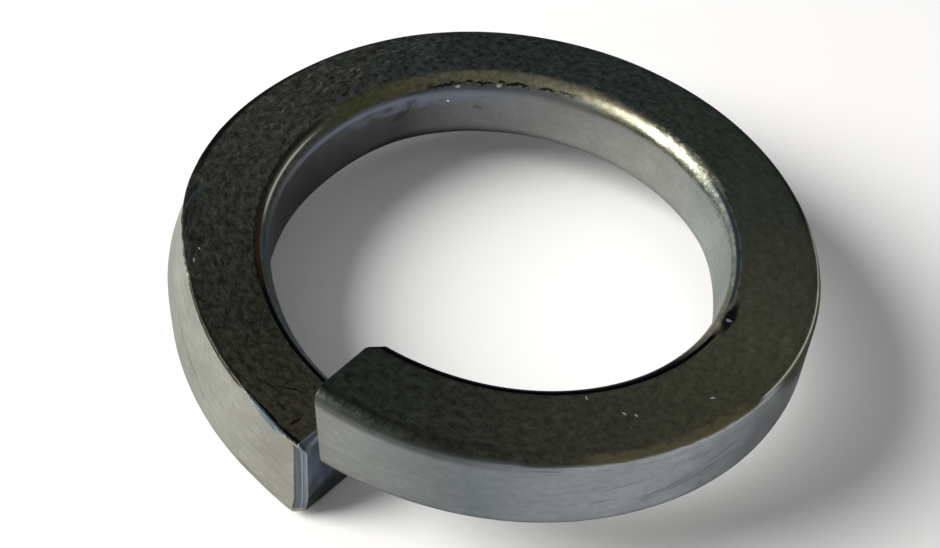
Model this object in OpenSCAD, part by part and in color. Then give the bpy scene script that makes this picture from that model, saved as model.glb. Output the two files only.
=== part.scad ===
// Spring lock washer of the light, nearly square kind for an M24 screw. It is one left-hand
// turn of rounded wire, cut through on a slant and sprung apart along the bore.
// The bore axis is +Z and the lowest edge is at z = 0. The cut is at -Y, with the lower end
// on its -X side and the upper end on its +X side.

/* [Ring] */
// Outside diameter at the middle of the wire
outer_d = 35.4; // [33:0.1:44]
// Diameter of the bore
bore_d = 25.2; // [20:0.1:27.6]
// Thickness of the wire along the bore
wire_h = 4.8; // [3.8:0.1:7]
// Rise of the coil in one full turn
coil_rise = 5.4; // [2:0.1:9]
// Tilt of the wire, in degrees, that lifts its outer edge above its bore edge
wire_tilt = 5; // [0:0.5:8]

/* [Edges] */
// Rounding of the upper outer edge
top_outer_r = 1; // [0.4:0.1:1.5]
// Rounding of the upper edge at the bore
top_bore_r = 1; // [0.4:0.1:1.5]
// Rounding of both lower edges
bottom_r = 0.5; // [0.3:0.1:0.9]
// Rolled-over rounding round the face of the upper end
end_r = 0.4; // [0.2:0.05:0.6]

/* [Cut] */
// Width of the slit between the cut ends, square to the cut
slit_w = 0.8; // [0.4:0.1:4]
// Lean of the cut away from the bore axis, in degrees
cut_lean = 11; // [0:1:25]
// Turn of the cut in plan away from the radius, in degrees
cut_turn = 5; // [0:1:12]

/* [Hidden] */

outer_r = outer_d / 2;
bore_r = bore_d / 2;
mid_r = (outer_r + bore_r) / 2;
turn_steps = 96;  // rings along the turn
edge_steps = 4;   // chords in each rounded edge of the wire
roll_steps = 3;   // rings in the rolled edge of the upper end
overlap = 0.05;   // how far the swept wire passes the true bore

function unit(v) = v / norm(v);

// Arc of radius r that rounds the corner at p between the directions u and v
function rounded(p, u, v, r) =
    let (
        half = acos(u * v) / 2,
        middle = p + unit(u + v) * r / sin(half),
        from = p + u * r / tan(half) - middle,
        to = p + v * r / tan(half) - middle
    )
    [for (i = [0:edge_steps])
        let (t = i / edge_steps, sweep = 180 - 2 * half)
        middle + (from * sin(sweep * (1 - t)) + to * sin(sweep * t)) / sin(sweep)];

// The end of an arc that meets the bore, led past the wall along the arc's own last chord
function led_past(arc) =
    let (
        wall = arc[edge_steps],
        chord = wall - arc[edge_steps - 1]
    )
    concat([for (i = [0:edge_steps - 1]) arc[i]], [wall + chord * overlap / abs(chord.x)]);

function reversed(list) = [for (i = [len(list) - 1:-1:0]) list[i]];

// Outline of the wire as [radius, height above its middle], drawn in on every side by inset.
// The flats and the outer wall are tilted together, and the bore wall is upright.
function section(inset) =
    let (
        along = [cos(wire_tilt), sin(wire_tilt)],
        up = [-sin(wire_tilt), cos(wire_tilt)],
        half_h = wire_h / 2 - inset,
        in_r = bore_r + inset,
        centre = [mid_r, 0],
        reach = (outer_r - mid_r) - inset,
        rise_in = (in_r - mid_r) * tan(wire_tilt),
        half_in = half_h / cos(wire_tilt),
        low_r = bottom_r - inset / 2
    )
    concat(
        rounded(centre + along * reach + up * half_h, -up, -along, top_outer_r - inset / 2),
        led_past(rounded([in_r, rise_in + half_in], along, [0, -1], top_bore_r - inset / 2)),
        reversed(led_past(rounded([in_r, rise_in - half_in], along, [0, 1], low_r))),
        rounded(centre + along * reach - up * half_h, -along, up, low_r)
    );

// Angle from the middle of the slit to a cut face, at section point p. end is 1 for the lower
// end and -1 for the upper end, and each pass brings the point closer to the plane of the cut.
function cut_angle(p, end, a = 0, passes = 6) =
    passes == 0 ? a :
    let (
        half_slit = slit_w / 2 / cos(cut_lean) / cos(cut_turn),
        lean = tan(cut_lean) * (p.y + end * coil_rise * a / 360),
        turn = tan(cut_turn) * (p.x * cos(a) - mid_r)
    )
    cut_angle(p, end, asin((half_slit + end * (lean + turn)) / p.x), passes - 1);

// Angle round the turn of section point p, at a share of the way from the lower cut to the
// upper one, less a length that is measured back along the wire
function ring_angle(p, share, back) =
    let (start = cut_angle(p, 1), finish = 360 - cut_angle(p, -1))
    start + (finish - start) * share - back / p.x * 180 / PI;

// A section point at an angle round the turn, which runs clockwise from -Y as it climbs
function coil_point(p, a, floor_z) =
    [-p.x * sin(a), -p.x * cos(a), p.y + coil_rise * a / 360 - floor_z];

// Rings as [share of the turn, length back from the upper end, inset of the section]
rings = concat(
    [for (i = [0:turn_steps - 1]) [i / turn_steps, 0, 0]],
    [for (i = [0:roll_steps])
        let (a = 75 * i / roll_steps)
        [1, end_r * (1 - sin(a)), end_r * (1 - cos(a))]]
);

// One turn of wire that reaches a little inside the true bore
module swept_wire() {
    outline = section(0);
    sides = len(outline);
    floor_z = min([for (p = outline) p.y + coil_rise * cut_angle(p, 1) / 360]);
    points = [for (ring = rings, p = section(ring[2]))
        coil_point(p, ring_angle(p, ring[0], ring[1]), floor_z)];
    last = len(points) - sides;
    walls = [for (i = [0:len(rings) - 2], j = [0:sides - 1])
        let (
            a = i * sides + j,
            b = i * sides + (j + 1) % sides
        )
        each [[a, b, a + sides], [b, b + sides, a + sides]]];
    lower_end = [for (j = [1:sides - 2]) [0, j + 1, j]];
    upper_end = [for (j = [1:sides - 2]) [last, last + j, last + j + 1]];
    polyhedron(points, concat(walls, lower_end, upper_end));
}

module washer() {
    color([0.56, 0.57, 0.56])
        difference() {
            swept_wire();
            translate([0, 0, -coil_rise]) cylinder(h = wire_h + 3 * coil_rise, r = bore_r, $fn = 96);
        }
}

washer();
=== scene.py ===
"""The looks of a spring lock washer: one left-hand turn of nearly square steel wire, cut through once.

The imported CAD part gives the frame. This script sweeps the same wire far more finely, adds the wear and the
sheared edges that the CAD leaves out, and stays inside the CAD part's box. All lengths are in metres.
"""

from math import cos, pi, radians, sin, tan

import bpy
import numpy as np
from mathutils import Matrix, Vector, noise


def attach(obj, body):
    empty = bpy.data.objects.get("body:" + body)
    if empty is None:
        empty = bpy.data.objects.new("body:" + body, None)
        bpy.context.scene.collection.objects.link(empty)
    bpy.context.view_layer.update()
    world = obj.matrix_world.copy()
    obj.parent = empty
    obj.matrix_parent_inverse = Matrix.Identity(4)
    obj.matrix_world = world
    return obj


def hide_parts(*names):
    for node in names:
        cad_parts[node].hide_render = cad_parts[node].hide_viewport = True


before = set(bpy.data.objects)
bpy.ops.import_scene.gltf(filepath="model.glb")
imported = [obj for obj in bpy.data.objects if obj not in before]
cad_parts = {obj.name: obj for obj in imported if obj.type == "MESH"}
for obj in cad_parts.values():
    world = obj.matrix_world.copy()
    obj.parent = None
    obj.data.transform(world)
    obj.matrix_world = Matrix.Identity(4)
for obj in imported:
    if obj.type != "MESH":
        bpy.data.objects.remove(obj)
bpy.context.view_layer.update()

MM = 0.001

# The wire and the cut, as the CAD part has them
OUTER_R = 17.70 * MM
BORE_R = 12.60 * MM
MID_R = (OUTER_R + BORE_R) / 2
HALF_H = 2.40 * MM
COIL_RISE = 5.40 * MM
WIRE_TILT = radians(5)
SLIT_W = 0.80 * MM
CUT_LEAN = radians(11)
CUT_TURN = radians(5)
BOTTOM_R = 0.50 * MM
TOP_BORE_R = 1.00 * MM
ROLL_R = 0.40 * MM  # the rolled edge of the upper end

# What the visual model adds
INSIDE = 0.015 * MM  # kept back from the CAD part's outer wall, which has facets
TURN_RINGS = 640
END_RINGS = 30  # close rings over the last stretch at each end
END_STRETCH = 1.5 * MM
CAP_RINGS = 14
ROLL_RINGS = 6


def smooth(low, high, x):
    """0 at low, 1 at high and a smooth step between; low may be above high."""
    t = np.clip((np.asarray(x, float) - low) / (high - low), 0, 1)
    return t * t * (3 - 2 * t)


def bump_at(x, centre, half_width):
    """1 at centre, falling smoothly to 0 half_width either side."""
    return 1 - smooth(0, half_width, np.abs(np.asarray(x, float) - centre))


# ---------------------------------------------------------------- the wire's section

# The zones in the order they go round the wire, each flat one between two roundings, and the points on each
TOP, BORE_EDGE, BORE, BORE_FOOT, BOTTOM, FOOT, WALL, EDGE = range(8)
POINTS = {TOP: 36, BORE_EDGE: 9, BORE: 18, BORE_FOOT: 9, BOTTOM: 14, FOOT: 5, WALL: 24, EDGE: 9}


def arc(corner, u, v, r, steps):
    """An arc of radius r that rounds off corner, between the directions u and v that leave it."""
    cross = abs(u[0] * v[1] - u[1] * v[0])
    centre = corner + (u + v) * r / cross
    tangent = r * (1 + u @ v) / cross
    a, b = corner + u * tangent - centre, corner + v * tangent - centre
    at = np.linspace(0, np.arctan2(a[0] * b[1] - a[1] * b[0], a @ b), steps)
    return centre + np.outer(np.cos(at), a) + np.outer(np.sin(at), [-a[1], a[0]])


def section(edge_r, bore_edge_r, foot_r, bore_foot_r, tilt, inset=0.0):
    """The wire's outline as (radius, height) points, in the order of the zones."""
    along, up = np.array([cos(tilt), sin(tilt)]), np.array([-sin(tilt), cos(tilt)])
    down = np.array([0.0, -1.0])
    half_h, in_r = HALF_H - inset, BORE_R + inset
    crisper = (cos(tilt) + sin(tilt) - 1) * (BOTTOM_R - foot_r)  # a crisper foot would otherwise stand out
    reach = OUTER_R - MID_R - inset - INSIDE - crisper
    centre = np.array([MID_R, 0.0])
    rise_in, half_in = (in_r - MID_R) * tan(tilt), half_h / cos(tilt)
    arcs = {
        BORE_EDGE: (np.array([in_r, rise_in + half_in]), along, down, bore_edge_r),
        BORE_FOOT: (np.array([in_r, rise_in - half_in]), -down, along, bore_foot_r),
        FOOT: (centre + along * reach - up * half_h, -along, up, foot_r),
        EDGE: (centre + along * reach + up * half_h, -up, -along, edge_r),
    }
    arcs = {zone: arc(corner, u, v, r - inset / 2, POINTS[zone]) for zone, (corner, u, v, r) in arcs.items()}
    points = []
    for zone in POINTS:
        if zone in arcs:
            points.append(arcs[zone])
        else:
            start, end = arcs[(zone - 1) % len(POINTS)][-1], arcs[zone + 1][0]
            points.append(start + (end - start) * np.linspace(0, 1, POINTS[zone] + 2)[1:-1, None])
    return np.vstack(points)


ZONES = np.repeat(list(POINTS), list(POINTS.values()))


def cut_angle(p, end):
    """The angle from the slit's middle plane to the cut at section points p.

    end is 1 at the lower end and -1 at the upper one."""
    a = np.zeros(len(p))
    half_slit = SLIT_W / 2 / cos(CUT_LEAN) / cos(CUT_TURN)
    for _ in range(6):
        lean = tan(CUT_LEAN) * (p[:, 1] + end * COIL_RISE * a / (2 * pi))
        turn = tan(CUT_TURN) * (p[:, 0] * np.cos(a) - MID_R)
        a = np.arcsin((half_slit + end * (lean + turn)) / p[:, 0])
    return a


def on_coil(p, share, back=0.0):
    """Section points p as (x, y, z), at that share of the turn or that length back from there."""
    start = cut_angle(p, 1)
    a = start + (2 * pi - cut_angle(p, -1) - start) * share - back / p[:, 0]
    return np.stack([-p[:, 0] * np.sin(a), -p[:, 0] * np.cos(a), p[:, 1] + COIL_RISE * a / (2 * pi)], 1)


# ---------------------------------------------------------------- the sweep

TURN_LENGTH = 2 * pi * MID_R
FACET_BACK = np.array([0.0, 0.10, 0.13, 0.16, 0.33, 0.39]) * MM  # each facet's edges, back from the lower end
FACET_DEPTH = np.array([0.62, 0.44, 0.48, 0.35, 0.04, 0.0]) * MM  # and how deep they are, from the outer wall
SPUR_REACH = 0.44 * MM
BEVEL_DEPTH, BEVEL_LENGTH = 0.50 * MM, 0.60 * MM
SCALE_HEIGHT, LUMP_HEIGHT, UNEVEN = 0.10 * MM, 0.16 * MM, 0.012 * MM
FINE, COARSE = 900, 260  # noise cycles a metre
ROLL_TO = radians(75)  # how far round the upper end's rolled edge goes
MIDDLE_DIST = 2.0  # millimetres from either top edge to the middle of an end, roughly
END_SHARE = 0.01  # the part of the turn at each end that the cutting changed


def edge_radius(share):
    """The top outer rounding: crisp on the arm behind the lower end, and fullest opposite the cut."""
    back_arm = 0.10 + 0.90 * smooth(0.17, 0.30, share)
    return (back_arm - 0.50 * smooth(0.62, 0.80, share) + 0.22 * smooth(0.86, 0.97, share)) * MM


def bore_edge_radius(share):
    """The top rounding towards the bore, which is fullest opposite the cut and crisp to the right of that."""
    return TOP_BORE_R + (0.30 * bump_at(share, 0.44, 0.16) - 0.60 * bump_at(share, 0.67, 0.09)) * MM


def foot_radius(share):
    """The bottom outer rounding, crisp where the wire was sheared at the lower end."""
    return BOTTOM_R - 0.38 * MM * smooth(0.03, 0.0, share)


def bore_foot_radius(share):
    """The bottom rounding towards the bore, fuller round the far half."""
    return BOTTOM_R + 0.70 * MM * smooth(0.26, 0.36, share) * smooth(0.70, 0.62, share)


def edge_tilt(share):
    """The wire's tilt, which eases off towards the upper end."""
    return WIRE_TILT - radians(2.2) * smooth(0.80, 0.97, share)


def lean_in(p, share):
    """Curves the outer wall in at its top on the arm behind the lower end, and draws the top face in with it.

    The bore's wall stands out a little there, and so does the outer wall's foot further along."""
    lean = 0.50 * MM * (1 - smooth(0.10, 0.18, share)) * (0.40 + 0.60 * smooth(0.0, 0.03, share))
    across = np.clip((p[:, 0] - BORE_R) / (OUTER_R - BORE_R), 0, 1)
    p[:, 0] -= lean * smooth(-1.2 * HALF_H, 1.15 * HALF_H, p[:, 1]) ** 2 * across
    foot = 0.42 * MM * bump_at(share, 0.180, 0.06)
    p[:, 0] += foot * smooth(0.9 * HALF_H, -0.5 * HALF_H, p[:, 1]) * across
    belly = 0.40 * MM * bump_at(share, 0.095, 0.10) * bump_at(p[:, 1], 0, 0.9 * HALF_H)
    p[:, 0] -= belly * smooth(BORE_R + 0.6 * MM, BORE_R, p[:, 0])
    return p


def shear_off(p, back):
    """The facets that the cutting blade left down the outer edge of the lower end, back from it."""
    depth = np.interp(back, FACET_BACK, FACET_DEPTH)
    depth = depth * (0.8 - 0.42 * smooth(-0.95 * HALF_H, -0.35 * HALF_H, p[:, 1]))
    across = smooth(MID_R + 0.9 * MM, OUTER_R - 0.3 * MM, p[:, 0])
    p[:, 0] -= depth * across * (1 - 0.85 * smooth(0.84 * HALF_H, 1.02 * HALF_H, p[:, 1]))
    return p


def blunt(p, ahead):
    """The bevel between the bore and the upper end, which is that far ahead."""
    depth = BEVEL_DEPTH * (1 - min(ahead / BEVEL_LENGTH, 1))
    p[:, 0] += depth * smooth(MID_R - 0.8 * MM, BORE_R + 0.3 * MM, p[:, 0])
    return p


def spur(p, share):
    """How far the blade drew out the lower end's outer part, between its top edge and its foot."""
    across = smooth(BORE_R, OUTER_R + 0.6 * MM, p[:, 0])
    down = smooth(1.06 * HALF_H, 0.94 * HALF_H, p[:, 1]) * smooth(-1.0 * HALF_H, -0.3 * HALF_H, p[:, 1])
    return SPUR_REACH * across * down * smooth(END_SHARE, 0.0, share)


def shaped(share, inset=0.0):
    """The section at that share of the turn, with the wear that belongs to it."""
    shape = (edge_radius, bore_edge_radius, foot_radius, bore_foot_radius, edge_tilt)
    p = section(*(float(value(share)) for value in shape), inset)
    p = lean_in(p, share)
    if share < END_SHARE:
        p = shear_off(p, share * TURN_LENGTH)
    if share > 1 - END_SHARE:
        p = blunt(p, (1 - share) * TURN_LENGTH)
    return p


def ring_shares():
    """The shares of the turn that get a ring, closer together at both ends."""
    near = END_STRETCH / TURN_LENGTH
    ends = np.linspace(0, near, END_RINGS, endpoint=False)
    return np.concatenate([ends, np.linspace(near, 1 - near, TURN_RINGS), 1 - ends[::-1]])


def build_rows():
    """Rows of section points, from the middle of the lower end's face to the middle of the upper end's.

    With each row go its share of the turn and how far in from its face's rim it is, from 0 to 1."""
    rows, shares, caps = [], [], []
    middle = np.array([MID_R, 0.0])

    def add(p, share, back=0.0, cap=0.0):
        rows.append(on_coil(p, share, back + spur(p, share)))
        shares.append(share)
        caps.append(cap)

    first, shrink = shaped(0.0), np.linspace(0, 1, CAP_RINGS + 1)[1:-1]
    for t in shrink:
        add(middle + (first - middle) * t, 0.0, cap=1 - t)
    for share in ring_shares()[:-1]:
        add(shaped(share), share)
    for a in np.linspace(0, ROLL_TO, ROLL_RINGS):
        last, back = shaped(1.0, ROLL_R * (1 - cos(a))), ROLL_R * (1 - sin(a))
        add(last, 1.0, back)
    for t in shrink[::-1]:
        add(middle + (last - middle) * t, 1.0, back, cap=1 - t)
    return np.array(rows), np.array(shares), np.array(caps)


def lengths_round(rows):
    """How far each point lies round its own ring, from the first point, and each ring's whole length."""
    steps = np.linalg.norm(np.roll(rows, -1, 1) - rows, axis=2)
    far = np.cumsum(steps, 1)
    return far - steps, far[:, -1:]


def signed_distance(far, whole, zone):
    """Distance round the ring from the middle of a zone, negative before it and positive after it."""
    at = np.flatnonzero(ZONES == zone)
    middle = far[:, at[len(at) // 2], None]
    return (far - middle + whole / 2) % whole - whole / 2


def outward(rows):
    """Unit normals of the swept rows, out of the wire."""
    normal = np.cross(np.roll(rows, -1, 1) - np.roll(rows, 1, 1), np.gradient(rows, axis=0))
    return normal / np.maximum(np.linalg.norm(normal, axis=2, keepdims=True), 1e-12)


def noise_at(rows, scale):
    """Noise from -1 to 1 at every point of the rows."""
    return np.array([noise.noise(Vector(p) * scale) for p in rows.reshape(-1, 3)]).reshape(rows.shape[:2])


def relief(rows, shares, edge_dist, bore_dist):
    """How far each point stands out: unevenness, scale on the rim, and a lump on the bore's top edge."""
    turn, fine = shares[:, None], noise_at(rows, FINE)
    flaky = bump_at(turn, 0.16, 0.10) * bump_at(edge_dist, 0.45 * MM, 0.8 * MM)
    lump = bump_at(turn, 0.744, 0.017) * bump_at(bore_dist, 0.25 * MM, 0.75 * MM)
    lump = LUMP_HEIGHT * smooth(0.15, 0.75, lump + 0.25 * fine * (lump > 0))
    scale = SCALE_HEIGHT * flaky * smooth(0.05, 0.5, fine)
    return UNEVEN * (noise_at(rows, COARSE) + 1) + scale + lump


def skin(count, around):
    """Quads over the rows, and then a fan of triangles to the middle of each end, all wound to face into the
    wire.
    """
    i, j = np.meshgrid(np.arange(count - 1), np.arange(around), indexing="ij")
    k = (j + 1) % around
    quads = np.stack([i * around + j, (i + 1) * around + j, (i + 1) * around + k, i * around + k], -1)
    j, last = np.arange(around), (count - 1) * around
    k, low, high = (j + 1) % around, count * around, count * around + 1
    fans = [np.stack([j * 0 + low, j, k], -1), np.stack([j * 0 + high, last + k, last + j], -1)]
    return quads.reshape(-1, 4).tolist() + np.vstack(fans).tolist()


def add_marks(mesh, shares, caps, edge_dist, bore_dist):
    """Writes where each point is, for the material to read. The last two points are the ends' middles."""
    everywhere = np.ones(edge_dist.shape)
    marks = {
        "turn": (shares[:, None] * everywhere, (0, 1)),
        "edge_dist": (edge_dist / MM, (MIDDLE_DIST, MIDDLE_DIST)),
        "bore_dist": (bore_dist / MM, (MIDDLE_DIST, MIDDLE_DIST)),
        "bottom": ((ZONES == BOTTOM) * (caps[:, None] == 0) * everywhere, (0, 0)),
        "cap": (caps[:, None] * everywhere, (1, 1)),
    }
    for name, (values, at_middles) in marks.items():
        mark = mesh.attributes.new(name, "FLOAT", "POINT")
        mark.data.foreach_set("value", np.append(values, at_middles).astype(np.float32))


def add_wire_map(mesh, shares, edge_dist, whole):
    """Adds a UV map in millimetres: along the turn, and round the wire from the outer top edge."""
    count, around = edge_dist.shape
    wire_map = mesh.uv_layers.new(name="wire_map")
    corner = np.zeros(len(mesh.loops), np.int32)
    mesh.loops.foreach_get("vertex_index", corner)
    u = np.append(np.repeat(shares, around), [0, 1]) * TURN_LENGTH / MM
    v = np.append(edge_dist / MM, [MIDDLE_DIST, MIDDLE_DIST])
    uv = np.stack([u[corner], v[corner]], 1)
    # where a quad crosses the map's seam, its negative side goes once more round the wire
    quad_v = uv[: (count - 1) * around * 4, 1].reshape(-1, 4)
    span = np.repeat(whole[:-1] / MM, around, 1).reshape(-1, 1)
    wraps = np.ptp(quad_v, axis=1, keepdims=True) > span / 2
    quad_v += np.where(wraps & (quad_v < 0), span, 0)
    wire_map.data.foreach_set("uv", uv.ravel().astype(np.float32))


def build_washer():
    """The worn washer as one closed mesh that stands on the floor."""
    rows, shares, caps = build_rows()
    far, whole = lengths_round(rows)
    edge_dist, bore_dist = signed_distance(far, whole, EDGE), -signed_distance(far, whole, BORE_EDGE)
    proud = np.where(caps[:, None] > 0, 0, relief(rows, shares, edge_dist, bore_dist))
    rows = rows + outward(rows) * proud[:, :, None]
    rows[:, :, 2] -= rows[:, :, 2].min()
    verts = np.vstack([rows.reshape(-1, 3), rows[0].mean(0), rows[-1].mean(0)])
    faces = skin(*rows.shape[:2])
    mesh = bpy.data.meshes.new("spring_washer")
    mesh.from_pydata(verts.tolist(), [], faces)
    mesh.polygons.foreach_set("use_smooth", [True] * len(faces))
    add_marks(mesh, shares, caps, edge_dist, bore_dist)
    add_wire_map(mesh, shares, edge_dist, whole)
    mesh.update()
    washer = bpy.data.objects.new("spring_washer", mesh)
    bpy.context.scene.collection.objects.link(washer)
    return washer


washer = build_washer()

# ---------------------------------------------------------------- the steel


class Shader:
    """Short names for making a material's nodes. A value is a number, a colour or another node's output."""

    def __init__(self, name):
        self.material = bpy.data.materials.new(name)
        self.material.use_nodes = True
        self.tree = self.material.node_tree
        self.bsdf = self.tree.nodes["Principled BSDF"]

    def node(self, kind, **values):
        node = self.tree.nodes.new("ShaderNode" + kind)
        for name, value in values.items():
            setattr(node, name, value)
        return node

    def put(self, socket, value):
        if isinstance(value, bpy.types.NodeSocket):
            self.tree.links.new(value, socket)
        else:
            socket.default_value = value

    def mark(self, name):
        return self.node("Attribute", attribute_name=name).outputs["Fac"]

    def math(self, operation, a, b=0.0, c=0.0):
        node = self.node("Math", operation=operation)
        for socket, value in zip(node.inputs, (a, b, c)):
            self.put(socket, value)
        return node.outputs[0]

    def times(self, *values):
        result = values[0]
        for value in values[1:]:
            result = self.math("MULTIPLY", result, value)
        return result

    def plus(self, *values):
        result = values[0]
        for value in values[1:]:
            result = self.math("ADD", result, value)
        return result

    def minus(self, a, b):
        return self.math("SUBTRACT", a, b)

    def step(self, low, high, x):
        """0 at low, 1 at high, smooth between; falls instead where low is above high."""
        node = self.node("MapRange", interpolation_type="SMOOTHSTEP")
        flip = low > high
        for name, value in (("Value", x), ("From Min", min(low, high)), ("From Max", max(low, high))):
            self.put(node.inputs[name], value)
        node.inputs["To Min"].default_value, node.inputs["To Max"].default_value = (1, 0) if flip else (0, 1)
        return node.outputs["Result"]

    def band(self, low, high, soft, x):
        """1 between low and high, with soft sides."""
        return self.times(self.step(low - soft, low, x), self.step(high + soft, high, x))

    def spread(self, value, low, high):
        """Rescales 0..1 to low..high."""
        return self.math("MULTIPLY_ADD", value, high - low, low)

    def ramp(self, x, *stops):
        """A colour that changes with x, from stops of (x, colour) or (x, grey)."""
        stops = [(at, colour if isinstance(colour, tuple) else (colour,) * 3) for at, colour in stops]
        node = self.node("ValToRGB")
        stack = node.color_ramp.elements
        while len(stack) < len(stops):
            stack.new(0.5)
        for element, (at, colour) in zip(stack, stops):
            element.position, element.color = at, (*colour, 1)
        self.put(node.inputs[0], x)
        return node.outputs[0]

    def stretched(self, scale_u, scale_v, turn=0.0):
        """The wire map, scaled along and round the wire, after a turn in degrees."""
        spin = self.node("Mapping", vector_type="POINT")
        spin.inputs["Rotation"].default_value[2] = radians(turn)
        self.put(spin.inputs["Vector"], self.node("UVMap", uv_map="wire_map").outputs[0])
        scale = self.node("Mapping", vector_type="POINT")
        scale.inputs["Scale"].default_value = (scale_u, scale_v, 1)
        self.put(scale.inputs["Vector"], spin.outputs[0])
        return scale.outputs[0]

    def noise(self, vector, scale=1.0, detail=3.0, rough=0.5, distort=0.0):
        node = self.node("TexNoise")
        self.put(node.inputs["Vector"], vector)
        values = {"Scale": scale, "Detail": detail, "Roughness": rough, "Distortion": distort}
        for name, value in values.items():
            node.inputs[name].default_value = value
        return node.outputs["Fac"]

    def wire_noise(self, scale_u, scale_v, turn=0.0, detail=5, rough=0.65, distort=0.0):
        """Noise on the stretched wire map."""
        return self.noise(self.stretched(scale_u, scale_v, turn), 1.0, detail, rough, distort)

    def threads(self, value, core, rim):
        """Thin lines where value crosses a half: 1 within core of it, and 0 beyond rim."""
        return self.step(rim, core, self.math("ABSOLUTE", self.minus(value, 0.5)))

    def paint(self, colour, tint, *amounts):
        """Lays a tint over a colour, by the product of the amounts."""
        node = self.node("Mix", data_type="RGBA")
        self.put(node.inputs["Factor"], self.times(*amounts))
        for socket, value in ((node.inputs[6], colour), (node.inputs[7], tint)):
            self.put(socket, value if isinstance(value, bpy.types.NodeSocket) else (*value, 1))
        return node.outputs[2]

    def ragged_map(self, amount):
        """The wire map, pushed about by up to half that many millimetres."""
        wire = self.node("UVMap", uv_map="wire_map").outputs[0]
        push = self.node("TexNoise")
        self.put(push.inputs["Vector"], wire)
        push.inputs["Scale"].default_value, push.inputs["Detail"].default_value = 2.5, 4
        centred = self.node("VectorMath", operation="SUBTRACT")
        self.put(centred.inputs[0], push.outputs["Color"])
        centred.inputs[1].default_value = (0.5, 0.5, 0.5)
        moved = self.node("VectorMath", operation="MULTIPLY_ADD")
        self.put(moved.inputs[0], centred.outputs[0])
        moved.inputs[1].default_value = (amount, amount, 0)
        self.put(moved.inputs[2], wire)
        return moved.outputs[0]

    def spot(self, share, across, half_long, half_wide, degrees):
        """1 inside a ragged ellipse on the wire map, fading to 0 at its rim."""
        inside = self.node("Mapping", vector_type="TEXTURE")
        inside.inputs["Location"].default_value = (share * TURN_LENGTH / MM, across, 0)
        inside.inputs["Rotation"].default_value[2] = radians(degrees)
        inside.inputs["Scale"].default_value = (half_long, half_wide, 1)
        self.put(inside.inputs["Vector"], self.ragged)
        length = self.node("VectorMath", operation="LENGTH")
        self.put(length.inputs[0], inside.outputs[0])
        return self.step(1.15, 0.55, length.outputs["Value"])

    def shade(self, colour, factor):
        """Brightens or darkens a colour by a factor."""
        node = self.node("VectorMath", operation="SCALE")
        self.put(node.inputs[0], colour)
        self.put(node.inputs["Scale"], factor)
        return node.outputs[0]


# Tints by share of the turn
# The top face: dark scale, and partly a painted dark reflection of the surroundings that the face mirrors
TOP_TINT_AND_REFLECTION = (
    (0.00, (0.079, 0.075, 0.054)),
    (0.08, (0.050, 0.053, 0.039)),
    (0.22, (0.073, 0.077, 0.064)),
    (0.42, (0.048, 0.058, 0.056)),
    (0.60, (0.059, 0.074, 0.059)),
    (0.74, (0.120, 0.122, 0.081)),
    (0.84, (0.097, 0.097, 0.066)),
    (1.00, (0.038, 0.046, 0.039)),
)
# The outer wall: plating tone, with painted light on the arm behind the lower end and painted shade at the
# front by the upper end
WALL_TINT_AND_SHADE = (
    (0.00, (0.292, 0.291, 0.258)),
    (0.14, (0.477, 0.488, 0.433)),
    (0.35, (0.340, 0.350, 0.340)),
    (0.63, (0.330, 0.340, 0.330)),
    (0.80, (0.363, 0.387, 0.403)),
    (0.93, (0.150, 0.169, 0.178)),
    (1.00, (0.248, 0.257, 0.235)),
)
# The bore's wall: plating tone, with painted shade on the far left, darkest at 0.34, and painted light past
# the far side, brightest at 0.66
BORE_TINT_AND_SHADE = (
    (0.00, (0.115, 0.125, 0.130)),
    (0.22, (0.161, 0.161, 0.160)),
    (0.34, (0.072, 0.072, 0.073)),
    (0.44, (0.189, 0.196, 0.193)),
    (0.54, (0.315, 0.319, 0.292)),
    (0.66, (0.403, 0.439, 0.413)),
    (1.00, (0.355, 0.370, 0.365)),
)
# The rounding towards the bore: olive to beige, then near-black from 0.80 on as painted shade where it turns
# away by the upper end
LIP_TINT_AND_SHADE = (
    (0.02, (0.150, 0.175, 0.185)),
    (0.16, (0.130, 0.145, 0.150)),
    (0.30, (0.110, 0.113, 0.057)),
    (0.40, (0.205, 0.196, 0.130)),
    (0.48, (0.200, 0.190, 0.130)),
    (0.52, (0.150, 0.148, 0.105)),
    (0.585, (0.200, 0.208, 0.160)),
    (0.63, (0.280, 0.335, 0.310)),
    (0.67, (0.400, 0.430, 0.400)),
    (0.76, (0.360, 0.350, 0.270)),
    (0.80, (0.020, 0.024, 0.026)),
)
TOP_CONTRAST = ((0.0, 0.8), (0.14, 1.0), (0.48, 0.9), (0.62, 0.3), (0.84, 0.45), (0.94, 0.7))
TOP_WEAR = ((0.45, 1.0), (0.62, 0.35), (0.84, 0.55))

# Tints by millimetres back from the lower end: bluish steel, each facet painted lighter or darker as lit or
# shaded
FACETS_TINT_AND_SHADE = (
    (0.00, (0.30, 0.33, 0.36)),
    (0.03, (0.17, 0.19, 0.21)),
    (0.10, (0.16, 0.18, 0.20)),
    (0.125, (0.06, 0.07, 0.08)),
    (0.155, (0.27, 0.31, 0.34)),
    (0.19, (0.12, 0.135, 0.145)),
    (0.33, (0.11, 0.12, 0.13)),
    (0.38, (0.06, 0.07, 0.08)),
)

# Tints by noise
SCALE_TINT = ((0.45, (0.022, 0.027, 0.028)), (0.62, (0.10, 0.12, 0.125)))
BURNISHED_TINT = ((0.40, (0.08, 0.105, 0.115)), (0.60, (0.24, 0.29, 0.31)))
TORN_TINT = ((0.35, (0.07, 0.075, 0.082)), (0.70, (0.17, 0.18, 0.19)))
CUT_TINT = ((0.35, (0.11, 0.13, 0.17)), (0.70, (0.19, 0.22, 0.28)))
UPPER_END_TINT = ((0.35, (0.16, 0.17, 0.18)), (0.70, (0.26, 0.28, 0.30)))

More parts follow.
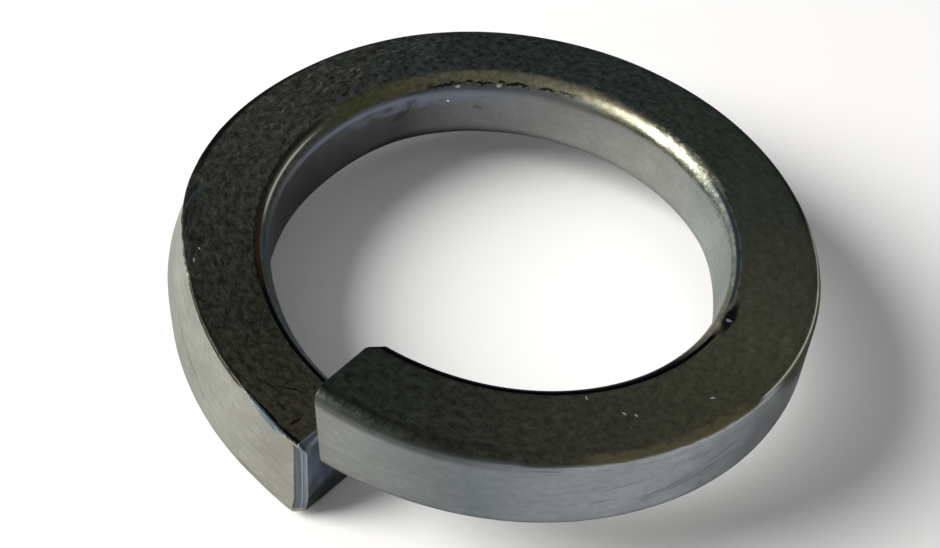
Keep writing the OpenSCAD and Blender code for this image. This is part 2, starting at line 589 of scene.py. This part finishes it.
NEAR_BLACK = (0.006, 0.007, 0.009)
CRACK_BLACK = (0.010, 0.010, 0.008)
LIP_BLACK = (0.012, 0.013, 0.014)
BROWN_BLACK = (0.014, 0.012, 0.010)
SMUDGE_GREY = (0.015, 0.016, 0.017)
DARK_OLIVE = (0.030, 0.029, 0.022)
DARK_BLUE = (0.030, 0.040, 0.045)
DARK_TEAL = (0.030, 0.052, 0.062)
BROWN = (0.058, 0.034, 0.018)
SCRATCH_GREY = (0.09, 0.10, 0.11)
LAVENDER = (0.15, 0.175, 0.235)
YELLOW = (0.25, 0.215, 0.115)
RUBBED_GREY = (0.27, 0.28, 0.24)
PALE_GREY = (0.30, 0.32, 0.30)
PALE_BLUE_HIGHLIGHT = (0.34, 0.40, 0.50)
GLINT_BLUE = (0.40, 0.52, 0.58)
SPECK_GREY = (0.60, 0.60, 0.56)
STRAW_GLINT = (0.62, 0.60, 0.46)
SPECK_WHITE = (0.70, 0.72, 0.70)
EDGE_HIGHLIGHT_CREAM = (0.85, 0.80, 0.66)
HIGHLIGHT_CREAM = (0.95, 0.92, 0.78)

# Small marks: share of the turn, millimetres round from the outer top edge, half sizes, degrees from the wire
CRACKS = ((0.028, 1.93, 0.66, 0.06, 135), (0.0097, 0.87, 0.46, 0.08, 100), (0.0215, 0.96, 0.50, 0.04, 5))
TOP_SPECKS = (
    (0.869, 3.76, 0.16, 0.05, 80),
    (0.851, 2.49, 0.16, 0.05, 70),
    (0.845, 2.22, 0.12, 0.05, 60),
    (0.801, 1.51, 0.16, 0.05, 30),
    (0.131, 0.80, 0.07, 0.07, 0),
    (0.123, 0.45, 0.16, 0.05, 20),
)
BORE_SPECKS = ((0.379, 4.71, 0.22, 0.10, 0), (0.411, 4.71, 0.20, 0.11, 0), (0.375, 5.74, 0.12, 0.06, 20))
SMUDGES = ((0.357, 4.49, 0.35, 0.22, 0), (0.401, 6.37, 0.50, 0.15, 25), (0.337, 6.22, 0.75, 0.30, -20))
WALL_SCRATCHES = ((0.838, -3.1, 1.9, 0.05, 163), (0.808, -2.2, 1.3, 0.05, 165), (0.895, -0.50, 0.9, 0.05, 0))
LUMP = ((0.742, 3.98, 1.7, 0.30, 0),)
LUMP_GLINT = ((0.7455, 3.95, 0.22, 0.09, 30),)


class Steel(Shader):
    """The washer's plated steel, with the marks that drawing, shearing and wear left on it, and with light
    and shade painted in places.

    Places are shares of the turn, and millimetres from the outer top edge or the bore's top edge: positive on
    the top face, and negative down the wall."""

    def __init__(self):
        super().__init__("plated_steel")
        self.turn, self.edge, self.bore = self.mark("turn"), self.mark("edge_dist"), self.mark("bore_dist")
        self.cap_depth = self.mark("cap")
        self.cap = self.step(0.0, 0.02, self.cap_depth)
        self.off_cap = self.minus(1.0, self.cap)
        self.place = self.node("NewGeometry").outputs["Position"]
        self.cloudy = self.noise(self.place, 380, 4, 0.55)
        self.draw = self.wire_noise(0.22, 6.0, 7)
        self.grain = self.wire_noise(2.1, 2.7, detail=8, rough=0.72, distort=0.2)
        self.blotch = self.minus(self.wire_noise(1.3, 1.3, detail=6, rough=0.7), 0.5)
        self.ragged = self.ragged_map(0.30)
        self.top_tint_and_reflection = self.ramp(self.turn, *TOP_TINT_AND_REFLECTION)
        self.on_top = self.top_mask()

    def along(self, low, high, soft):
        """1 between two shares of the turn."""
        return self.band(low, high, soft, self.turn)

    def by_edge(self, low, high, soft, blotched=0.0):
        """1 between two distances from the outer top edge, raggedly where blotched."""
        at = self.plus(self.edge, self.times(self.blotch, blotched)) if blotched else self.edge
        return self.band(low, high, soft, at)

    def by_bore(self, low, high, soft, blotched=0.0):
        """1 between two distances from the bore's top edge, raggedly where blotched."""
        at = self.plus(self.bore, self.times(self.blotch, blotched)) if blotched else self.bore
        return self.band(low, high, soft, at)

    def top_mask(self):
        """1 on the dark top face: ragged behind the lower end, and by the upper end run over the edge as a
        painted dark reflection.
        """
        arm, front = self.step(0.26, 0.12, self.turn), self.step(0.88, 0.97, self.turn)
        rim = self.plus(self.edge, self.times(self.blotch, self.spread(arm, 0.25, 0.9)))
        rim = self.plus(rim, self.times(self.along(0.785, 0.90, 0.01), 0.15))
        # By the upper end the dark top runs over the edge: a painted dark reflection
        rim = self.plus(rim, self.times(arm, 0.10), self.times(front, 0.25))
        rim = self.times(rim, self.spread(front, 1.0, 0.22))
        wider, narrower = self.along(0.63, 0.74, 0.03), self.along(0.27, 0.48, 0.04)
        lip = self.minus(self.plus(self.bore, self.times(wider, 0.22)), self.times(narrower, 0.20))
        lip = self.plus(lip, self.times(self.blotch, 0.5))
        return self.times(self.step(-0.10, 0.10, rim), self.step(0.40, 0.70, lip), self.off_cap)

    def walls(self):
        """Both walls, with draw lines along them, and lavender in the bore opposite the cut; their tints hold
        painted light and shade.
        """
        wall = self.shade(self.ramp(self.turn, *WALL_TINT_AND_SHADE), self.spread(self.draw, 0.84, 1.16))
        inner = self.shade(self.ramp(self.turn, *BORE_TINT_AND_SHADE), self.spread(self.draw, 0.90, 1.10))
        side = self.paint(wall, inner, self.by_bore(-4.2, 0.6, 0.3))
        side = self.shade(side, self.spread(self.step(0.3, 0.7, self.cloudy), 0.90, 1.08))
        side = self.shade(side, self.spread(self.grain, 0.70, 1.30))
        patchy = self.step(0.34, 0.58, self.wire_noise(0.9, 1.6, detail=4, rough=0.6))
        patch = self.times(self.along(0.30, 0.41, 0.03), self.by_bore(-1.3, -0.3, 0.25), patchy, 0.65)
        line = self.times(self.along(0.185, 0.37, 0.03), self.by_bore(-0.60, -0.40, 0.10), 0.8)
        return self.paint(side, LAVENDER, self.math("MAXIMUM", patch, line))

    def wall_lines(self, side):
        """Dark seams in the right of the outer wall, and drag lines down the arm behind the lower end."""
        seams = self.threads(self.wire_noise(0.05, 0.9, 6, detail=2, rough=0.5), 0.002, 0.010)
        seams = self.times(seams, self.along(0.66, 0.88, 0.04))
        side = self.shade(side, self.spread(seams, 1.0, 0.75))
        drag = self.threads(self.wire_noise(0.04, 0.8, -5, detail=2, rough=0.5), 0.003, 0.016)
        drag = self.times(drag, self.along(0.03, 0.15, 0.02), self.step(-0.4, -0.9, self.edge))
        return self.shade(side, self.spread(drag, 1.0, 0.80))

    def lip(self, colour):
        """The rounding towards the bore: olive to beige and near-black painted shade by the upper end, with
        straw patches as a painted glint, and a ragged dark line.
        """
        wide = self.times(self.by_bore(-0.55, 0.80, 0.20, 0.5), self.step(0.46, 0.51, self.turn))
        tint = self.shade(self.ramp(self.turn, *LIP_TINT_AND_SHADE), self.spread(self.grain, -0.2, 2.2))
        colour = self.paint(colour, tint, self.math("MAXIMUM", self.by_bore(-0.10, 0.80, 0.12, 0.5), wide))
        # Straw patches on the rounding: a painted glint that brightens the key light's highlight there
        flash = self.step(0.50, 0.58, self.wire_noise(2.2, 3.2, detail=4, rough=0.6))
        flash = self.times(flash, self.along(0.545, 0.625, 0.02), self.by_bore(-0.35, 0.55, 0.15))
        colour = self.paint(colour, STRAW_GLINT, flash, 0.7)
        broken = self.step(0.42, 0.50, self.wire_noise(0.9, 2.5, rough=0.7))
        line = self.times(self.by_bore(-0.14, 0.02, 0.06, 0.9), self.along(0.365, 0.46, 0.02))
        return self.paint(colour, LIP_BLACK, line, broken, 0.95)

    def scattered(self):
        """Specks in a few of the cells of a Voronoi pattern."""
        cells, chance = self.node("TexVoronoi"), self.node("SeparateColor")
        self.put(cells.inputs["Vector"], self.stretched(1, 1))
        cells.inputs["Scale"].default_value = 0.9
        self.put(chance.inputs[0], cells.outputs["Color"])
        few = self.step(0.86, 0.88, chance.outputs[0])
        return self.times(self.step(0.07, 0.03, cells.outputs["Distance"]), few)

    def top(self, side):
        """The dark face, partly a painted dark reflection, roughest on the left: scratches, rubbed patches,
        bright specks, black rim.
        """
        grain = self.times(self.minus(self.grain, 0.5), self.ramp(self.turn, *TOP_CONTRAST), 5.0)
        flakes = self.wire_noise(0.8, 1.6, 20, rough=0.6, distort=0.6)
        top = self.shade(self.top_tint_and_reflection, self.plus(grain, 1.0))
        top = self.shade(top, self.spread(flakes, 0.66, 1.34))
        one_way = self.step(0.62, 0.70, self.wire_noise(0.5, 9.0, 34, detail=2, rough=0.5))
        other_way = self.step(0.64, 0.72, self.wire_noise(0.4, 8.0, -28, detail=2, rough=0.5))
        scratches = self.math("MAXIMUM", one_way, other_way)
        top = self.paint(top, PALE_GREY, scratches, self.along(0.10, 0.50, 0.10), 0.16)
        rubbed = self.step(0.54, 0.68, self.wire_noise(1.3, 5.0, 8))
        rubbed = self.times(rubbed, self.along(0.245, 0.35, 0.03), self.by_edge(0.6, 2.2, 0.5))
        top = self.paint(top, RUBBED_GREY, rubbed, 0.8)
        top = self.paint(top, SPECK_GREY, self.scattered(), self.step(0.06, 0.10, self.turn), 0.7)
        rim = self.times(self.along(0.20, 0.63, 0.04), self.by_edge(-0.70, 0.24, 0.20))
        return self.paint(self.paint(side, top, self.on_top), NEAR_BLACK, rim, 0.9)

    def left_arm(self, colour):
        """Behind the lower end: scale and olive by the rim, and by the bore black painted shade, brown, and a
        cream painted highlight.
        """
        scale = self.ramp(self.wire_noise(0.6, 5.0, -15, detail=4, rough=0.6), *SCALE_TINT)
        scaly = self.times(self.along(0.128, 0.172, 0.012), self.by_edge(-0.15, 0.70, 0.20, 0.6), self.on_top)
        colour = self.paint(colour, scale, scaly, 0.6)
        olive = self.times(self.along(0.046, 0.105, 0.008), self.by_edge(-0.17, 0.15, 0.04))
        colour = self.paint(colour, DARK_OLIVE, olive, 0.95)
        # Black painted shade on the top by the bore's edge, where it turns away
        black = self.times(self.along(0.0, 0.118, 0.012), self.by_bore(0.34, 0.60, 0.05))
        colour = self.paint(colour, NEAR_BLACK, black, self.off_cap)
        dark = self.times(self.along(0.118, 0.25, 0.03), self.by_bore(0.46, 0.66, 0.08))
        colour = self.paint(colour, BROWN_BLACK, dark, 0.8)
        brown = self.times(self.along(0.112, 0.172, 0.014), self.by_bore(0.32, 0.50, 0.07))
        colour = self.paint(colour, BROWN, brown, 0.85)
        # A cream painted highlight on the bore's rounding
        cream = self.times(self.step(0.155, 0.185, self.turn), self.step(0.268, 0.225, self.turn))
        return self.paint(colour, HIGHLIGHT_CREAM, cream, self.by_bore(0.15, 0.25, 0.05))

    def burnished(self, colour):
        """A tapering blue strip along the outer edge by the lower end, and a ragged black line inside it, a
        painted shadow.
        """
        lens = self.times(self.step(0.005, 0.017, self.turn), self.step(0.038, 0.024, self.turn))
        lens = self.times(lens, self.off_cap)
        strip = self.times(self.step(-0.04, 0.04, self.plus(self.edge, self.times(lens, 0.42))),
                           self.step(0.04, -0.02, self.edge), self.step(0.0, 0.25, lens))
        tint = self.ramp(self.wire_noise(0.4, 14.0, detail=3, rough=0.6), *BURNISHED_TINT)
        colour = self.paint(colour, self.paint(tint, DARK_BLUE, self.by_edge(-0.06, 0.04, 0.04)), strip)
        # The ragged black line inside the strip is a painted shadow
        inner = self.plus(self.edge, self.times(self.blotch, 0.7))
        inner = self.minus(inner, self.times(self.step(0.045, 0.015, self.turn), 0.12))
        shadow_line = self.times(self.step(-0.05, 0.02, self.edge), self.step(0.10, 0.02, inner), self.off_cap)
        return self.paint(colour, NEAR_BLACK, shadow_line, self.step(0.048, 0.036, self.turn))

    def facets(self, colour):
        """The sheared facets down the outer wall at the lower end, painted lighter and darker as lit and
        shaded.
        """
        from_end = self.times(self.turn, TURN_LENGTH / MM)
        below = self.times(self.step(-0.20, -0.40, self.edge), self.step(-4.9, -4.6, self.edge), self.off_cap)
        ridges = self.spread(self.wire_noise(9.0, 0.25, detail=3, rough=0.6), 0.5, 1.5)
        tint = self.shade(self.ramp(from_end, *FACETS_TINT_AND_SHADE), ridges)
        return self.paint(colour, tint, below, self.step(0.44, 0.37, from_end))

    def cut_faces(self, colour):
        """The sheared ends. The lower one is bluer above a sloping line, with a painted highlight along its
        upper edge.
        """
        grit = self.noise(self.place, 900, 5, 0.6)
        at = self.node("SeparateXYZ")
        self.put(at.inputs[0], self.place)
        line = self.plus(at.outputs["Z"], self.times(self.plus(at.outputs["Y"], OUTER_R), 0.42))
        line = self.plus(line, self.times(self.minus(grit, 0.5), 1.2 * MM))
        above = self.step(2.4 * MM, 2.8 * MM, line)
        low = self.paint(self.ramp(grit, *TORN_TINT), self.ramp(grit, *CUT_TINT), above)
        # A pale blue painted highlight along the lower end's upper edge
        bright = self.times(self.step(0.0, 0.2, self.edge), self.step(3.2, 2.2, self.edge))
        low = self.paint(low, PALE_BLUE_HIGHLIGHT, bright, self.step(0.16, 0.08, self.cap_depth))
        high = self.ramp(grit, *UPPER_END_TINT)
        return self.paint(colour, self.paint(low, high, self.step(0.4, 0.6, self.turn)), self.cap)

    def right_side(self, colour):
        """The right: a cream painted highlight on the outer edge over a dark olive painted reflection,
        yellow, a teal line and black painted shade by the bore.
        """
        # A dark olive painted reflection on the outer wall below the edge
        past = self.minus(self.turn, self.times(self.edge, 0.0113))
        olive = self.times(self.step(0.779, 0.760, past), self.step(0.640, 0.700, self.turn),
                           self.step(-0.05, -0.15, self.edge), self.step(-3.8, -1.6, self.edge))
        colour = self.paint(colour, self.shade(self.top_tint_and_reflection, 0.75), olive)
        # A cream painted highlight along the outer top edge
        cream = self.times(self.along(0.695, 0.775, 0.006), self.by_edge(-0.07, 0.00, 0.04))
        thin = self.times(self.along(0.655, 0.695, 0.02), self.by_edge(-0.04, 0.02, 0.03), 0.7)
        colour = self.paint(colour, EDGE_HIGHLIGHT_CREAM, self.math("MAXIMUM", cream, thin))
        yellow = self.times(self.along(0.800, 0.866, 0.018), self.by_edge(-0.05, 0.16, 0.24, 1.2))
        colour = self.paint(colour, YELLOW, yellow, 0.6)
        teal = self.times(self.along(0.61, 0.725, 0.015), self.by_bore(0.15, 0.32, 0.05))
        colour = self.paint(colour, DARK_TEAL, teal, 0.85)
        # Black painted shade on the bore's edge by the upper end, where its rounding turns away
        black = self.times(self.step(0.752, 0.765, self.turn), self.by_bore(0.34, 0.56, 0.05))
        return self.paint(colour, NEAR_BLACK, black, self.off_cap)

    def upper_end(self, colour):
        """Painted shade on the outer edge by the upper end, where the top face's colour runs over it."""
        fading = self.times(self.step(0.88, 0.95, self.turn), self.by_edge(-0.50, 0.40, 0.35))
        return self.shade(colour, self.spread(fading, 1.0, 0.5))

    def small_marks(self, colour):
        """The cracks, smudges, scratches and specks, and the dark lump on the bore's edge with its painted
        glint.
        """
        for marks, tint, strength in (
            (CRACKS, CRACK_BLACK, 0.9),
            (SMUDGES, SMUDGE_GREY, 0.4),
            (WALL_SCRATCHES, SCRATCH_GREY, 0.6),
            (TOP_SPECKS + BORE_SPECKS, SPECK_WHITE, 0.9),
            (LUMP, NEAR_BLACK, 0.9),
            (LUMP_GLINT, GLINT_BLUE, 1.0),
        ):
            for mark in marks:
                colour = self.paint(colour, tint, self.spot(*mark), strength)
        return colour

    def bottom(self, colour):
        """The hidden face takes the top one's dark tint, painted dark reflection and all."""
        return self.paint(colour, self.shade(self.top_tint_and_reflection, 1.6), self.mark("bottom"), 0.8)

    def height(self):
        """Pits in the top face, shallower past the far side, and draw lines on the walls."""
        worn = self.times(self.ramp(self.turn, *TOP_WEAR), self.on_top)
        pits = self.times(self.wire_noise(1.5, 2.0, rough=0.62), worn, 1.8)
        lines = self.times(self.draw, self.minus(1.0, self.on_top), 0.20)
        return self.plus(pits, lines, self.times(self.noise(self.place, 5200, 4, 0.6), 0.12))

    def finish(self):
        """Joins it all up, and gives back the material."""
        colour = self.top(self.lip(self.wall_lines(self.walls())))
        for part in (self.left_arm, self.burnished, self.facets, self.right_side, self.upper_end,
                     self.small_marks, self.cut_faces, self.bottom):
            colour = part(colour)
        self.put(self.bsdf.inputs["Base Color"], colour)
        self.bsdf.inputs["Specular Tint"].default_value = (0.45, 0.45, 0.45, 1)
        self.bsdf.inputs["Metallic"].default_value = 1.0
        rough = self.plus(self.spread(self.cloudy, 0.27, 0.43), self.times(self.on_top, 0.08))
        self.put(self.bsdf.inputs["Roughness"], rough)
        bump = self.node("Bump")
        bump.inputs["Strength"].default_value = 0.9
        bump.inputs["Distance"].default_value = 0.06 * MM
        self.put(bump.inputs["Height"], self.height())
        self.put(self.bsdf.inputs["Normal"], bump.outputs[0])
        return self.material


washer.data.materials.append(Steel().finish())
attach(washer, "root")
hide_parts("washer")

# ---------------------------------------------------------------- the floor, lights and camera

FLOOR_HALF = 3.0
FLOOR_GREY = (0.85, 0.85, 0.85, 1)
STUDIO_GREY = (0.28, 0.28, 0.285, 1)
KEY_COLOUR = (1.0, 0.985, 0.96)

AIM = Vector((-0.739, -1.333, 4.20)) * MM
CAMERA_AZIMUTH, CAMERA_ELEVATION, CAMERA_ROLL = 23.65, 46.99, 11.12  # degrees
CAMERA_DISTANCE = 85.17 * MM
LENS = 58.42  # millimetres, on a sensor 36 wide


def lay_floor():
    """A plain pale floor at z = 0."""
    mesh = bpy.data.meshes.new("floor")
    h = FLOOR_HALF
    mesh.from_pydata([(-h, -h, 0), (h, -h, 0), (h, h, 0), (-h, h, 0)], [], [(0, 1, 2, 3)])
    pale = bpy.data.materials.new("pale_floor")
    pale.use_nodes = True
    pale.node_tree.nodes["Principled BSDF"].inputs["Base Color"].default_value = FLOOR_GREY
    pale.node_tree.nodes["Principled BSDF"].inputs["Roughness"].default_value = 0.9
    mesh.materials.append(pale)
    floor = bpy.data.objects.new("floor", mesh)
    bpy.context.scene.collection.objects.link(floor)


def aimed(azimuth, elevation, distance, roll=0.0):
    """A matrix at that distance from AIM, looking at it. Azimuth 0 is the side at -Y, and 90 that at +X."""
    azimuth, elevation, roll = radians(azimuth), radians(elevation), radians(roll)
    back = Vector((sin(azimuth) * cos(elevation), -cos(azimuth) * cos(elevation), sin(elevation)))
    right = (-back).cross(Vector((0, 0, 1))).normalized()
    up = right.cross(-back)
    turned_right = right * cos(roll) + up * sin(roll)
    turned_up = up * cos(roll) - right * sin(roll)
    matrix = Matrix((turned_right, turned_up, back)).transposed().to_4x4()
    matrix.translation = AIM + back * distance
    return matrix


def softbox(name, azimuth, elevation, distance, size, power, colour):
    """A round soft light that points at AIM."""
    lamp = bpy.data.lights.new(name, "AREA")
    lamp.shape, lamp.size, lamp.energy, lamp.color = "DISK", size, power, colour
    holder = bpy.data.objects.new(name, lamp)
    holder.matrix_world = aimed(azimuth, elevation, distance)
    bpy.context.scene.collection.objects.link(holder)


def set_camera():
    """The camera at the photograph's viewing angle."""
    data = bpy.data.cameras.new("camera")
    data.lens = LENS
    data.clip_start = 0.001
    camera = bpy.data.objects.new("camera", data)
    camera.matrix_world = aimed(CAMERA_AZIMUTH, CAMERA_ELEVATION, CAMERA_DISTANCE, CAMERA_ROLL)
    bpy.context.scene.collection.objects.link(camera)
    bpy.context.scene.camera = camera


lay_floor()
set_camera()
softbox("key", azimuth=-52, elevation=32, distance=0.80, size=0.52, power=12.5, colour=KEY_COLOUR)

world = bpy.data.worlds.new("studio")
bpy.context.scene.world = world
world.use_nodes = True
world.node_tree.nodes["Background"].inputs["Color"].default_value = STUDIO_GREY
bpy.context.scene.view_settings.view_transform = "Standard"
